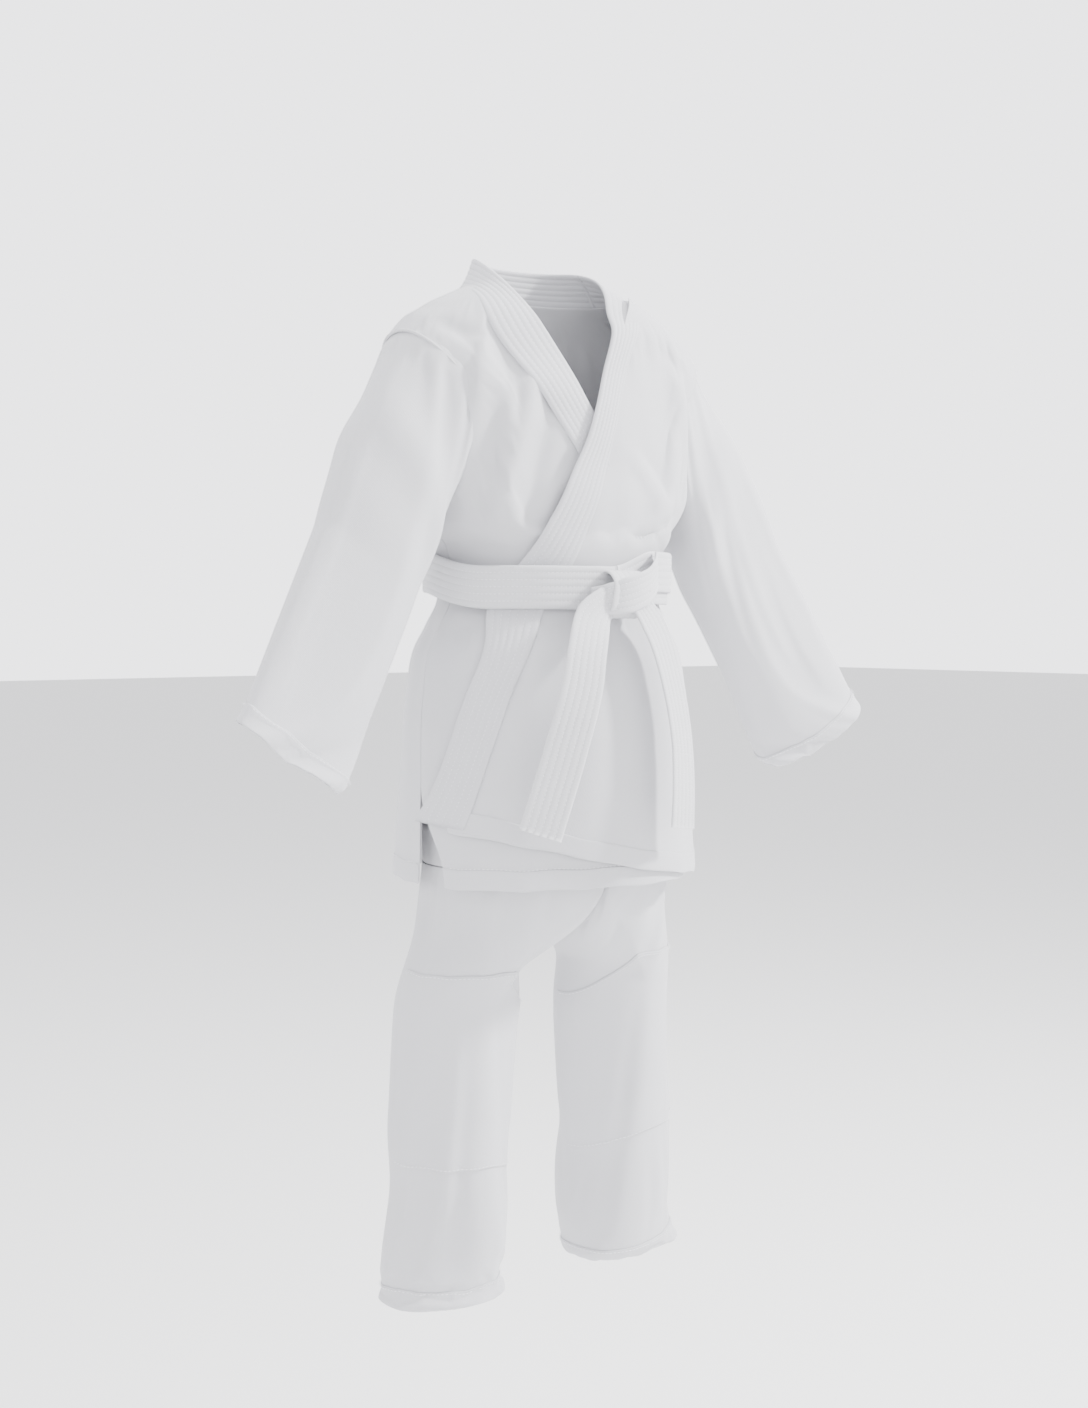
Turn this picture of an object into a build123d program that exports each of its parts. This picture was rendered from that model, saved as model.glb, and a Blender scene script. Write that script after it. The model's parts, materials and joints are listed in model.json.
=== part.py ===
"""A child's karate uniform, size 130: wrapped jacket, tied belt and straight trousers, as worn.

Millimetres, +Z up. The wearer faces -Y, so the wearer's left is +X. The origin is the middle of
the neck opening, level with the base of the collar.
"""

import os
from math import cos, radians, sin, sqrt

from build123d import *

# Body form inside the jacket: height, half width, half depth. Every layer is offset from it.
TORSO = [
    (0, 88, 50),
    (-24, 138, 56),
    (-54, 178, 64),
    (-130, 158, 86),
    (-205, 137, 88),
    (-258, 115, 91),
    (-318, 115, 91),
    (-345, 135, 109),
    (-392, 147, 121),
    (-480, 154, 130),
    (-572, 158, 138),
]
JACKET_HEM = -572

# Layers of cloth, as offsets outward from the body form
UNDER_FRONT = (0, 2)
UNDER_LAPEL = (0, 5)
BACK = (2.5, 4.5)
OVER_FRONT = (5.5, 7.5)
OVER_LAPEL = (5.5, 10.5)
LINING = (-2.8, -0.8)
LINING_INNER = 108
LINING_SPAN = (-150, -26)
HEM_EXTRA = 1
HEM_WIDTH = 20
REACH = 400  # further than any part of the jacket from its middle plane

# Outlines of the wrap seen from the front: across, up
OVER_EDGE = [(62, 1), (28, -43), (-9, -119), (-52, -210), (-82, -270), (-132, -385), (-159, -514)]
OVER_SEAM = [(98, 1), (62, -43), (24, -119), (-12, -210), (-38, -270), (-104, -385), (-141, -519)]
UNDER_EDGE = [(-76, 1), (-45, -53), (-9, -119), (78, -270), (105, -385), (118, -573)]
UNDER_SEAM = [(-112, 1), (-98, -62), (-69, -98), (-30, -162), (36, -270), (66, -385), (82, -573)]
OVER_HEM_MIDDLE = (-40, -548)

# Collar standing round the back of the neck
COLLAR_LOW = 1
COLLAR_HEIGHT = 31
COLLAR_BASE = (92, 54)
COLLAR_TOP = (81, 49)
COLLAR_THICKNESS = 5
COLLAR_SLOT = (1.3, 3.7)
COLLAR_SLOT_EDGE = 3
COLLAR_CORE = (1.6, 3.4)
COLLAR_CORE_EDGE = 3.5
COLLAR_NOTCH = 60
COLLAR_FRONT = -10

# Armhole: a barrel about the shoulder's hinge line, which runs front to back
SHOULDER = (168, -8, -130)
BARREL_RADIUS = 79
BARREL_HALF_DEPTH = 52
CLEARANCE = 1.5

# Sleeve, from the shoulder to the cuff
SLEEVE_END = (324, -52, -446)
SLEEVE_HALF_WIDTH = (50, 67)
SLEEVE_HALF_DEPTH = (46, 33)
SLEEVE_WALL = 2
HEAD_GAP = 0.5
BORE_MARGIN = 1
PAST_ENDS = (-0.02, 1.02)  # shares of the length that run just past both ends
HEAD_HALF_DEPTH = 44
CUFF_TURN = 12
CUFF_HEM = 18

# Side vents
VENT_APEX = -478
VENT_OPENING = 45
FACING_WIDTH = 18
FACING_GAP = 0.2

# Belt
BELT_WIDTH = 40
BELT_THICKNESS = 3.5
BELT_HEIGHT = -287
BELT_HALF_WIDTH = 126
BELT_HALF_DEPTH = 99.8
BELT_CENTRE_Y = -3
BELT_TILT = -3.5  # lower at the front
WRAP_GAP = 0.3
KNOT = (58, 26, 40)
KNOT_ROUNDING = 9
KNOT_GAP = 0.5
KNOT_SHIFT = (2, -13)
RIGHT_TAIL = [(-38, -124, -321), (-64, -136, -372), (-86, -139, -440), (-114, -138, -518)]
LEFT_TAIL = [(24, -126, -321), (38, -140, -372), (41, -152, -440), (34, -164, -522)]

# Trousers
HIPS = [
    (-262, 104, 80),
    (-300, 104, 80),
    (-400, 122, 96),
    (-500, 131, 104),
    (-560, 112, 84),
    (-613, 44, 58),
]
TROUSER_WALL = 2
WAISTBAND_DEPTH = 34
WAISTBAND = (-3.4, 1.6)
WAISTBAND_WALL = 4
ELASTIC_CHANNEL = (-2.2, 0.4)
ELASTIC = (-1.9, 0.1)
ELASTIC_EDGE = 5
EYELET_REACH = 4
EYELET_RADIUS = 3
EYELET_SPACING = 50
HIP_HINGE = (10.9, -540)
HIP_RADIUS = 82
LEG = [
    (-516, 74, 10, 60, 70),
    (-600, 84, 12, 68, 68),
    (-650, 94, 14, 63, 62),
    (-720, 100, 16, 64, 58),
    (-840, 105, 18, 65, 53),
    (-975, 108, 20, 66, 50),
]
TROUSER_HEM = -975
LEG_HEM = 20
KNEE_PATCH = (-650, -840)
KNEE_THICKNESS = 1.5
GUSSET_HALF_WIDTH = 24
GUSSET_TOP = -585


def form(sections, extra, mode=Mode.ADD):
    """Loft upright ellipses about the middle line, each grown by extra."""
    ovals = []
    for height, half_width, half_depth in sections:
        with BuildSketch(Plane.XY.offset(height)) as oval:
            Ellipse(half_width + extra, half_depth + extra)
        ovals.append(oval.sketch)
    loft(ovals, ruled=True, mode=mode)


def shell(sections, layer):
    """A wall of cloth between two offsets from a lofted form."""
    form(sections, layer[1])
    form(sections, layer[0], mode=Mode.SUBTRACT)


def keep_front_outline(points):
    """Keep what lies in front of the middle plane and inside an outline seen from the front."""
    with BuildSketch(Plane.XZ) as outline:
        with BuildLine():
            Polyline(*points, close=True)
        make_face()
    extrude(outline.sketch, amount=REACH, mode=Mode.INTERSECT)


def keep_box(low, high):
    """Keep what lies between two opposite corners."""
    size = [b - a for a, b in zip(low, high)]
    middle = Vector(*[(a + b) / 2 for a, b in zip(low, high)])
    with Locations(middle):
        Box(*size, mode=Mode.INTERSECT)


def cut_box(low, high):
    """Cut away what lies between two opposite corners."""
    size = [b - a for a, b in zip(low, high)]
    middle = Vector(*[(a + b) / 2 for a, b in zip(low, high)])
    with Locations(middle):
        Box(*size, mode=Mode.SUBTRACT)


def barrel(side, radius, half_depth, mode=Mode.SUBTRACT):
    """A barrel round the shoulder's hinge line, wide at the middle and closed at both ends."""
    across, along, up = SHOULDER
    with BuildSketch(Plane((side * across, along, up))) as profile:
        Ellipse(radius, half_depth)
        with Locations((radius, 0)):
            Rectangle(2 * radius, 2 * half_depth, mode=Mode.SUBTRACT)
    revolve(profile.sketch, axis=Axis((side * across, along, up), (0, 1, 0)), mode=mode)


def barrel_shell(side):
    """The barrel's wall alone, as thick as a sleeve and open round both ends of the hinge line."""
    across, along, up = SHOULDER
    with BuildSketch(Plane((side * across, along, up))) as profile:
        Ellipse(BARREL_RADIUS, BARREL_HALF_DEPTH)
        Ellipse(BARREL_RADIUS - SLEEVE_WALL, BARREL_HALF_DEPTH - SLEEVE_WALL, mode=Mode.SUBTRACT)
        with Locations((BARREL_RADIUS, 0)):
            Rectangle(2 * BARREL_RADIUS, 2 * BARREL_HALF_DEPTH, mode=Mode.SUBTRACT)
        Rectangle(2 * BARREL_RADIUS, 2 * HEAD_HALF_DEPTH, mode=Mode.INTERSECT)
    revolve(profile.sketch, axis=Axis((side * across, along, up), (0, 1, 0)))


def cut_armholes():
    """Open the jacket's body at both shoulders."""
    for side in (-1, 1):
        barrel(side, BARREL_RADIUS, BARREL_HALF_DEPTH)


def cut_vents():
    """Open a wedge in front of each side seam, below the vents' points."""
    wedge = [(0, VENT_APEX), (0, JACKET_HEM - 1), (-VENT_OPENING, JACKET_HEM - 1)]
    with BuildSketch(Plane.YZ) as opening:
        with BuildLine():
            Polyline(*wedge, close=True)
        make_face()
    extrude(opening.sketch, amount=REACH, both=True, mode=Mode.SUBTRACT)


def grown(layer):
    """A layer made thicker on its outside, for a turned hem."""
    return (layer[0], layer[1] + HEM_EXTRA)


# Outlines of the two fronts
over_bottom = [OVER_HEM_MIDDLE, (REACH, JACKET_HEM)]
over_outline = OVER_SEAM + over_bottom + [(REACH, 1)]
over_lapel_outline = OVER_EDGE + OVER_SEAM[::-1]
under_outline = UNDER_SEAM + [(-REACH, JACKET_HEM - 1), (-REACH, 1)]
under_lapel_outline = UNDER_EDGE + UNDER_SEAM[::-1]
over_hem_line = [OVER_SEAM[-1], OVER_HEM_MIDDLE, (REACH, JACKET_HEM)]
over_hem_outline = over_hem_line + [(x, z + HEM_WIDTH) for x, z in over_hem_line[::-1]]

os.makedirs("parts", exist_ok=True)


def write(piece, name):
    """Label a finished piece and write it as its own file."""
    piece.part.label = name
    export_step(piece.part, f"parts/{name}.step")


# Back of the jacket, in two halves joined down the middle
for side, name in ((-1, "right"), (1, "left")):
    with BuildPart() as back_panel:
        shell(TORSO, BACK)
        keep_box((min(0, side * REACH), 0, JACKET_HEM + HEM_WIDTH), (max(0, side * REACH), REACH, 0))
        cut_armholes()
    write(back_panel, f"back_panel_{name}")

with BuildPart() as back_hem:
    shell(TORSO, grown(BACK))
    keep_box((-REACH, 0, JACKET_HEM), (REACH, REACH, JACKET_HEM + HEM_WIDTH))
write(back_hem, "back_hem")

# Right front, underneath
with BuildPart() as front_panel_right:
    shell(TORSO, UNDER_FRONT)
    keep_front_outline(under_outline)
    cut_box((-REACH, -REACH, JACKET_HEM - 1), (REACH, 0, JACKET_HEM + HEM_WIDTH))
    cut_armholes()
    cut_vents()
write(front_panel_right, "front_panel_right")

with BuildPart() as front_hem_right:
    shell(TORSO, grown(UNDER_FRONT))
    keep_front_outline(under_outline)
    keep_box((-REACH, -REACH, JACKET_HEM), (REACH, 0, JACKET_HEM + HEM_WIDTH))
    cut_vents()
write(front_hem_right, "front_hem_right")

with BuildPart() as lapel_right:
    shell(TORSO, UNDER_LAPEL)
    keep_front_outline(under_lapel_outline)
write(lapel_right, "lapel_right")

# Left front, on top
with BuildPart() as over_front_hem:
    with BuildSketch(Plane.XZ):
        with BuildLine():
            Polyline(*over_hem_outline, close=True)
        make_face()
    extrude(amount=REACH)

with BuildPart() as front_panel_left:
    shell(TORSO, OVER_FRONT)
    keep_front_outline(over_outline)
    add(over_front_hem.part, mode=Mode.SUBTRACT)
    cut_armholes()
    cut_vents()
write(front_panel_left, "front_panel_left")

with BuildPart() as front_hem_left:
    shell(TORSO, grown(OVER_FRONT))
    keep_front_outline(over_outline)
    add(over_front_hem.part, mode=Mode.INTERSECT)
    cut_vents()
write(front_hem_left, "front_hem_left")

with BuildPart() as lapel_left:
    shell(TORSO, OVER_LAPEL)
    keep_front_outline(over_lapel_outline)
write(lapel_left, "lapel_left")


# Collar round the back of the neck, with its stiffening strip in a slot
def collar_ring(inset_out, inset_in, low, high):
    """A leaning ring between two insets from the collar's outside."""
    for inset, mode in ((inset_out, Mode.ADD), (inset_in, Mode.SUBTRACT)):
        ovals = []
        for height in (low, high):
            rise = height / COLLAR_HEIGHT
            half_width = COLLAR_BASE[0] + rise * (COLLAR_TOP[0] - COLLAR_BASE[0])
            half_depth = COLLAR_BASE[1] + rise * (COLLAR_TOP[1] - COLLAR_BASE[1])
            with BuildSketch(Plane.XY.offset(height)) as oval:
                Ellipse(half_width - inset, half_depth - inset)
            ovals.append(oval.sketch)
        loft(ovals, ruled=True, mode=mode)


with BuildPart() as collar_slot:
    collar_ring(*COLLAR_SLOT, COLLAR_LOW + COLLAR_SLOT_EDGE, COLLAR_HEIGHT - COLLAR_SLOT_EDGE)

with BuildPart() as collar_back:
    collar_ring(0, COLLAR_THICKNESS, COLLAR_LOW, COLLAR_HEIGHT)
    add(collar_slot.part, mode=Mode.SUBTRACT)
    cut_box((-COLLAR_NOTCH, -REACH, 0), (COLLAR_NOTCH, COLLAR_FRONT, REACH))
write(collar_back, "collar_back")

with BuildPart() as collar_core:
    collar_ring(*COLLAR_CORE, COLLAR_LOW + COLLAR_CORE_EDGE, COLLAR_HEIGHT - COLLAR_CORE_EDGE)
    cut_box((-COLLAR_NOTCH, -REACH, 0), (COLLAR_NOTCH, COLLAR_FRONT, REACH))
write(collar_core, "collar_core")

# Inside of the jacket: shoulder linings and the vents' facings
for side, name in ((-1, "right"), (1, "left")):
    with BuildPart() as shoulder_lining:
        shell(TORSO, LINING)
        keep_box(
            (min(side * LINING_INNER, side * REACH), -REACH, LINING_SPAN[0]),
            (max(side * LINING_INNER, side * REACH), REACH, LINING_SPAN[1]),
        )
        barrel(side, BARREL_RADIUS, BARREL_HALF_DEPTH)
    write(shoulder_lining, f"shoulder_lining_{name}")

    with BuildPart() as vent_facing:
        shell(TORSO, LINING)
        keep_box(
            (min(0, side * REACH), FACING_GAP, JACKET_HEM),
            (max(0, side * REACH), FACING_WIDTH, VENT_APEX),
        )
    write(vent_facing, f"vent_facing_{name}")


# Sleeves
def sleeve_plane(side, share):
    """The plane across a sleeve, at a share of the way from the shoulder to the cuff."""
    start = Vector(side * SHOULDER[0], SHOULDER[1], SHOULDER[2])
    end = Vector(side * SLEEVE_END[0], SLEEVE_END[1], SLEEVE_END[2])
    along = (end - start).normalized()
    across = Vector(0, 1, 0).cross(along).normalized()
    turned = across.rotate(Axis((0, 0, 0), along), -side * CUFF_TURN * share)
    return Plane(start + (end - start) * share, x_dir=turned, z_dir=along)


def sleeve_length():
    """The distance from the shoulder's hinge to the cuff."""
    return sqrt(sum((b - a) ** 2 for a, b in zip(SHOULDER, SLEEVE_END)))


def sleeve_form(side, shares, extra, mode=Mode.ADD):
    """Loft a sleeve's oval sections at two shares of its length."""
    ovals = []
    for share in shares:
        half_width = SLEEVE_HALF_WIDTH[0] + share * (SLEEVE_HALF_WIDTH[1] - SLEEVE_HALF_WIDTH[0])
        half_depth = SLEEVE_HALF_DEPTH[0] + share * (SLEEVE_HALF_DEPTH[1] - SLEEVE_HALF_DEPTH[0])
        with BuildSketch(sleeve_plane(side, share)) as oval:
            Ellipse(half_width + extra, half_depth + extra)
        ovals.append(oval.sketch)
    loft(ovals, ruled=True, mode=mode)


hem_share = 1 - CUFF_HEM / sleeve_length()
with BuildPart() as sleeve:
    sleeve_form(1, (0, hem_share), 0)
    sleeve_form(1, PAST_ENDS, -SLEEVE_WALL, mode=Mode.SUBTRACT)
    barrel(1, BARREL_RADIUS + CLEARANCE, BARREL_HALF_DEPTH + CLEARANCE)

with BuildPart() as cuff_hem:
    sleeve_form(1, (hem_share, 1), HEM_EXTRA)
    sleeve_form(1, PAST_ENDS, -SLEEVE_WALL, mode=Mode.SUBTRACT)

with BuildPart() as sleeve_bore:
    sleeve_form(1, (0, 1), -SLEEVE_WALL - BORE_MARGIN)
with BuildPart() as jacket_body:
    form(TORSO, OVER_FRONT[1] + HEAD_GAP)
with BuildPart() as sleeve_head:
    barrel_shell(1)
    add(sleeve_bore.part, mode=Mode.SUBTRACT)
    add(jacket_body.part, mode=Mode.SUBTRACT)

# The right sleeve is the left one's mirror image
for left, name in ((sleeve, "sleeve"), (cuff_hem, "cuff_hem"), (sleeve_head, "sleeve_head")):
    with BuildPart() as right:
        mirror(left.part, about=Plane.YZ)
    write(left, f"{name}_left")
    write(right, f"{name}_right")

# Belt: two wraps, the knot and its two tails
belt_up = (0, sin(radians(BELT_TILT)), cos(radians(BELT_TILT)))
belt_plane = Plane((0, BELT_CENTRE_Y, BELT_HEIGHT), x_dir=(1, 0, 0), z_dir=belt_up)
for turn, name in enumerate(("belt_inner_wrap", "belt_outer_wrap")):
    grow = turn * (BELT_THICKNESS + WRAP_GAP)
    with BuildPart() as belt_wrap:
        with BuildSketch(belt_plane):
            Ellipse(BELT_HALF_WIDTH + grow + BELT_THICKNESS, BELT_HALF_DEPTH + grow + BELT_THICKNESS)
            Ellipse(BELT_HALF_WIDTH + grow, BELT_HALF_DEPTH + grow, mode=Mode.SUBTRACT)
        extrude(amount=BELT_WIDTH / 2, both=True)
    write(belt_wrap, name)

knot_back = BELT_CENTRE_Y - BELT_HALF_DEPTH - 2 * BELT_THICKNESS - WRAP_GAP - KNOT_GAP
knot_middle = (KNOT_SHIFT[0], knot_back - KNOT[1] / 2, BELT_HEIGHT + KNOT_SHIFT[1])
with BuildPart() as belt_knot:
    with Locations(knot_middle):
        Box(*KNOT)
    fillet(belt_knot.edges(), KNOT_ROUNDING)
write(belt_knot, "belt_knot")

for route, name in ((RIGHT_TAIL, "right"), (LEFT_TAIL, "left")):
    with BuildPart() as belt_tail:
        for start, end in zip(route, route[1:]):
            along = (Vector(*end) - Vector(*start)).normalized()
            with BuildSketch(Plane(start, x_dir=(1, 0, 0), z_dir=along)):
                Rectangle(BELT_WIDTH, BELT_THICKNESS)
            extrude(amount=(Vector(*end) - Vector(*start)).length)
    write(belt_tail, f"belt_tail_{name}")


# Trousers
def leg_form(side, sections, extra, mode=Mode.ADD):
    """Loft one leg's oval sections, from the hip down."""
    ovals = []
    for height, centre_x, centre_y, half_width, half_depth in sections:
        with BuildSketch(Plane.XY.offset(height)) as oval:
            with Locations((side * centre_x, centre_y)):
                Ellipse(half_width + extra, half_depth + extra)
        ovals.append(oval.sketch)
    loft(ovals, ruled=True, mode=mode)


def hip_shell():
    """The seat and the tops of both legs, hollow, down to the hip hinges' barrel."""
    form(HIPS, 0)
    for side in (-1, 1):
        leg_form(side, LEG[:3], 0)
    crotch, half_width, half_depth = HIPS[-1]
    inside = HIPS[:-1] + [(crotch + TROUSER_WALL, half_width, half_depth)]
    form(inside, -TROUSER_WALL, mode=Mode.SUBTRACT)
    for side in (-1, 1):
        leg_form(side, LEG[:3], -TROUSER_WALL, mode=Mode.SUBTRACT)


def keep_above_hinge():
    """Keep what lies above the hip hinge line or inside its barrel."""
    along, up = HIP_HINGE
    with BuildSketch(Plane.YZ) as zone:
        with Locations((along, up)):
            Circle(HIP_RADIUS)
        with Locations((along, up + REACH / 2)):
            Rectangle(2 * REACH, REACH)
    extrude(zone.sketch, amount=REACH, both=True, mode=Mode.INTERSECT)


def cut_above_hinge():
    """Cut away what lies above the hip hinge line or inside its barrel."""
    along, up = HIP_HINGE
    with BuildSketch(Plane.YZ) as zone:
        with Locations((along, up)):
            Circle(HIP_RADIUS + CLEARANCE)
        with Locations((along, up + REACH / 2)):
            Rectangle(2 * REACH, REACH)
    extrude(zone.sketch, amount=REACH, both=True, mode=Mode.SUBTRACT)


waist_top = HIPS[0][0]
waist_bottom = waist_top - WAISTBAND_DEPTH
for side, name in ((-1, "right"), (1, "left")):
    with BuildPart() as hip_panel:
        hip_shell()
        keep_above_hinge()
        keep_box((min(0, side * REACH), -REACH, -REACH * 2), (max(0, side * REACH), REACH, waist_bottom))
        cut_box((-GUSSET_HALF_WIDTH, -REACH, -REACH * 2), (GUSSET_HALF_WIDTH, REACH, GUSSET_TOP))
    write(hip_panel, f"hip_panel_{name}")

with BuildPart() as crotch_gusset:
    hip_shell()
    keep_above_hinge()
    keep_box((-GUSSET_HALF_WIDTH, -REACH, -REACH * 2), (GUSSET_HALF_WIDTH, REACH, GUSSET_TOP))
write(crotch_gusset, "crotch_gusset")


def waist_ring(layer, height, low):
    """An upright ring of cloth or elastic round the waist."""
    with BuildSketch(Plane.XY.offset(low)) as ring:
        Ellipse(HIPS[0][1] + layer[1], HIPS[0][2] + layer[1])
        Ellipse(HIPS[0][1] + layer[0], HIPS[0][2] + layer[0], mode=Mode.SUBTRACT)
    extrude(ring.sketch, amount=height)


with BuildPart() as elastic_channel:
    waist_ring(ELASTIC_CHANNEL, WAISTBAND_DEPTH - 2 * WAISTBAND_WALL, waist_bottom + WAISTBAND_WALL)

with BuildPart() as waistband:
    waist_ring(WAISTBAND, WAISTBAND_DEPTH, waist_bottom)
    add(elastic_channel.part, mode=Mode.SUBTRACT)
    with BuildSketch(Plane.XZ.offset(HIPS[0][2])):
        with Locations((0, waist_bottom + WAISTBAND_DEPTH / 2)):
            with GridLocations(EYELET_SPACING, 1, 2, 1):
                Circle(EYELET_RADIUS)
    extrude(amount=EYELET_REACH, mode=Mode.SUBTRACT)
write(waistband, "waistband")

with BuildPart() as waist_elastic:
    waist_ring(ELASTIC, WAISTBAND_DEPTH - 2 * ELASTIC_EDGE, waist_bottom + ELASTIC_EDGE)
write(waist_elastic, "waist_elastic")

for side, name in ((-1, "right"), (1, "left")):
    with BuildPart() as leg:
        leg_form(side, LEG, 0)
        leg_form(side, LEG, -TROUSER_WALL, mode=Mode.SUBTRACT)
        cut_above_hinge()
        cut_box((-REACH, -REACH, TROUSER_HEM), (REACH, REACH, TROUSER_HEM + LEG_HEM))
    write(leg, f"leg_{name}")

    with BuildPart() as leg_hem:
        leg_form(side, LEG[-2:], HEM_EXTRA)
        leg_form(side, LEG[-2:], -TROUSER_WALL, mode=Mode.SUBTRACT)
        keep_box((-REACH, -REACH, TROUSER_HEM), (REACH, REACH, TROUSER_HEM + LEG_HEM))
    write(leg_hem, f"leg_hem_{name}")

    with BuildPart() as knee_patch:
        leg_form(side, LEG[2:5], KNEE_THICKNESS)
        leg_form(side, LEG[2:5], 0, mode=Mode.SUBTRACT)
        keep_box((-REACH, -REACH, KNEE_PATCH[1]), (REACH, LEG[3][2], KNEE_PATCH[0]))
    write(knee_patch, f"knee_patch_{name}")
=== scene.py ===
import json
import math

import bpy
import numpy as np
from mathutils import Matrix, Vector

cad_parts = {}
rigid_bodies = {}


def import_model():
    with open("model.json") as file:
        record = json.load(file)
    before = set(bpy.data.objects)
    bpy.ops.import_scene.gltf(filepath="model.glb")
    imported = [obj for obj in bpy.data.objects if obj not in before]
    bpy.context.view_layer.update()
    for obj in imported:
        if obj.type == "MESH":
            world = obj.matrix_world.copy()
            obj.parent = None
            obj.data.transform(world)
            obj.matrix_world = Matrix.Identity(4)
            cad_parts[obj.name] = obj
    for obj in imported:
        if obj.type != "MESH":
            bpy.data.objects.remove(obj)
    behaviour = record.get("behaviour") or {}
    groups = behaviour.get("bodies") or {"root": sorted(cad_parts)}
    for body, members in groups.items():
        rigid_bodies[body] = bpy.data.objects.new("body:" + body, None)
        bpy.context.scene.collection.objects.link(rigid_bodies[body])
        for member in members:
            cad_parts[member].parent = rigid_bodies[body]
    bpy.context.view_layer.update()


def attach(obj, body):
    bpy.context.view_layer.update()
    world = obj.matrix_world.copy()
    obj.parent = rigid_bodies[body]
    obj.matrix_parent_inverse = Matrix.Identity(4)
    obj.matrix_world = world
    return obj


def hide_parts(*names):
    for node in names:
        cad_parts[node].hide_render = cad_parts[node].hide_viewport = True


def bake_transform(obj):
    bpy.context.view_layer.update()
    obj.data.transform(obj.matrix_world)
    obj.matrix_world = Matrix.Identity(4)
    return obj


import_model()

MM = 0.001

# ---------------------------------------------------------------- sizes, from the CAD frame
TORSO = np.array([  # height, half width, half depth of the jacket's inside
    (6, 80, 45), (0, 88, 50), (-24, 137, 58), (-54, 177, 66), (-130, 160, 87), (-205, 139, 90),
    (-258, 117, 92), (-316, 117, 92), (-345, 138, 110), (-392, 149, 122), (-480, 155, 131), (-572, 159, 138),
]) * MM
OVER_EDGE = np.array([
    (60, 6), (28, -43), (9, -82), (-9, -119), (-25, -155),
    (-52, -210), (-82, -270), (-132, -385), (-158, -512),
]) * MM
OVER_SEAM = np.array([
    (104, 6), (62, -43), (40, -82), (22, -119), (8, -155),
    (-12, -210), (-38, -270), (-104, -385), (-140, -517),
]) * MM
UNDER_EDGE = np.array([
    (-76, 6), (-64, -23), (-44, -53), (-24, -88), (-9, -119),
    (30, -187), (78, -270), (105, -385), (118, -570),
]) * MM
UNDER_SEAM = np.array([
    (-112, 6), (-110, -36), (-97, -66), (-70, -98), (-52, -128),
    (-30, -162), (36, -270), (66, -385), (82, -570),
]) * MM
JACKET_HEM = -0.572
OVER_CORNER_RISE = 0.058
VENT_APEX = -0.478
VENT_OPENING = 0.042
BELT_LOW, BELT_HIGH = -0.322, -0.258
SHOULDER = np.array((0.168, -0.008, -0.130))
ARMHOLE = (0.048, 0.076)
CUFF = np.array((0.324, -0.052, -0.446))
CUFF_RADII = (0.067, 0.029)
CUFF_SLANT = 0.013

UNDER, BACK, OVER = 0.0012, 0.0032, 0.0062
CLOTH = 0.0011

# ---------------------------------------------------------------- small tools


def smooth_table(table, at):
    """Values of a table's columns at given heights, on a smooth curve through its rows."""
    rows = table[np.argsort(table[:, 0])]
    keys = rows[:, 0]
    at = np.clip(at, keys[0], keys[-1])
    slot = np.clip(np.searchsorted(keys, at) - 1, 0, len(keys) - 2)
    step = keys[slot + 1] - keys[slot]
    share = (at - keys[slot]) / step
    out = []
    for column in range(1, rows.shape[1]):
        value = rows[:, column]
        slope = np.gradient(value, keys)
        h00 = 2 * share**3 - 3 * share**2 + 1
        h10 = share**3 - 2 * share**2 + share
        h01 = -2 * share**3 + 3 * share**2
        h11 = share**3 - share**2
        low, high = value[slot], value[slot + 1]
        out.append(h00 * low + h10 * step * slope[slot] + h01 * high + h11 * step * slope[slot + 1])
    return out


def smoothstep(value, low, high):
    """0 below low, 1 above high, and a smooth rise between."""
    share = np.clip((value - low) / (high - low), 0, 1)
    return share * share * (3 - 2 * share)


def grid_faces(rows, columns, closed=False):
    """Quads of a grid whose vertices run along the columns first."""
    faces = []
    for row in range(rows - 1):
        for column in range(columns if closed else columns - 1):
            right = (column + 1) % columns
            a, b = row * columns + column, row * columns + right
            faces.append((a, b, b + columns, a + columns))
    return faces


def make_object(name, points, faces, material, uv=None, keep=None):
    """A mesh object from points and faces, smooth shaded, with a flat map in metres."""
    if keep is not None:
        faces = [face for face in faces if all(keep[v] for v in face)]
        used = sorted({v for face in faces for v in face})
        new = {old: index for index, old in enumerate(used)}
        faces = [tuple(new[v] for v in face) for face in faces]
        points = points[used]
        uv = None if uv is None else uv[used]
    mesh = bpy.data.meshes.new(name)
    mesh.from_pydata([tuple(p) for p in points], [], faces)
    mesh.update()
    if uv is not None:
        layer = mesh.uv_layers.new(name="cloth")
        corners = np.zeros(len(mesh.loops), dtype=np.int32)
        mesh.loops.foreach_get("vertex_index", corners)
        layer.data.foreach_set("uv", uv[corners].astype(np.float32).ravel())
    mesh.shade_smooth()
    mesh.materials.append(material)
    piece = bpy.data.objects.new(name, mesh)
    bpy.context.collection.objects.link(piece)
    return piece


def thicken(piece, thickness):
    """Give a sheet its thickness, then smooth it."""
    solid = piece.modifiers.new("thickness", "SOLIDIFY")
    solid.thickness = thickness
    solid.offset = 0
    solid.use_even_offset = False
    smooth = piece.modifiers.new("smooth", "SUBSURF")
    smooth.levels = 1
    smooth.render_levels = 1


def lengths_map(points, rows, columns):
    """A flat map in metres from the grid's own lengths, across and down."""
    grid = points.reshape(rows, columns, 3)
    across = np.zeros((rows, columns))
    down = np.zeros((rows, columns))
    across[:, 1:] = np.cumsum(np.linalg.norm(np.diff(grid, axis=1), axis=2), axis=1)
    down[1:] = np.cumsum(np.linalg.norm(np.diff(grid, axis=0), axis=2), axis=0)
    across = across.mean(axis=0)[None, :].repeat(rows, 0)
    down = down.mean(axis=1)[:, None].repeat(columns, 1)
    return np.stack([across.ravel(), down.ravel()], axis=1)


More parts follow.
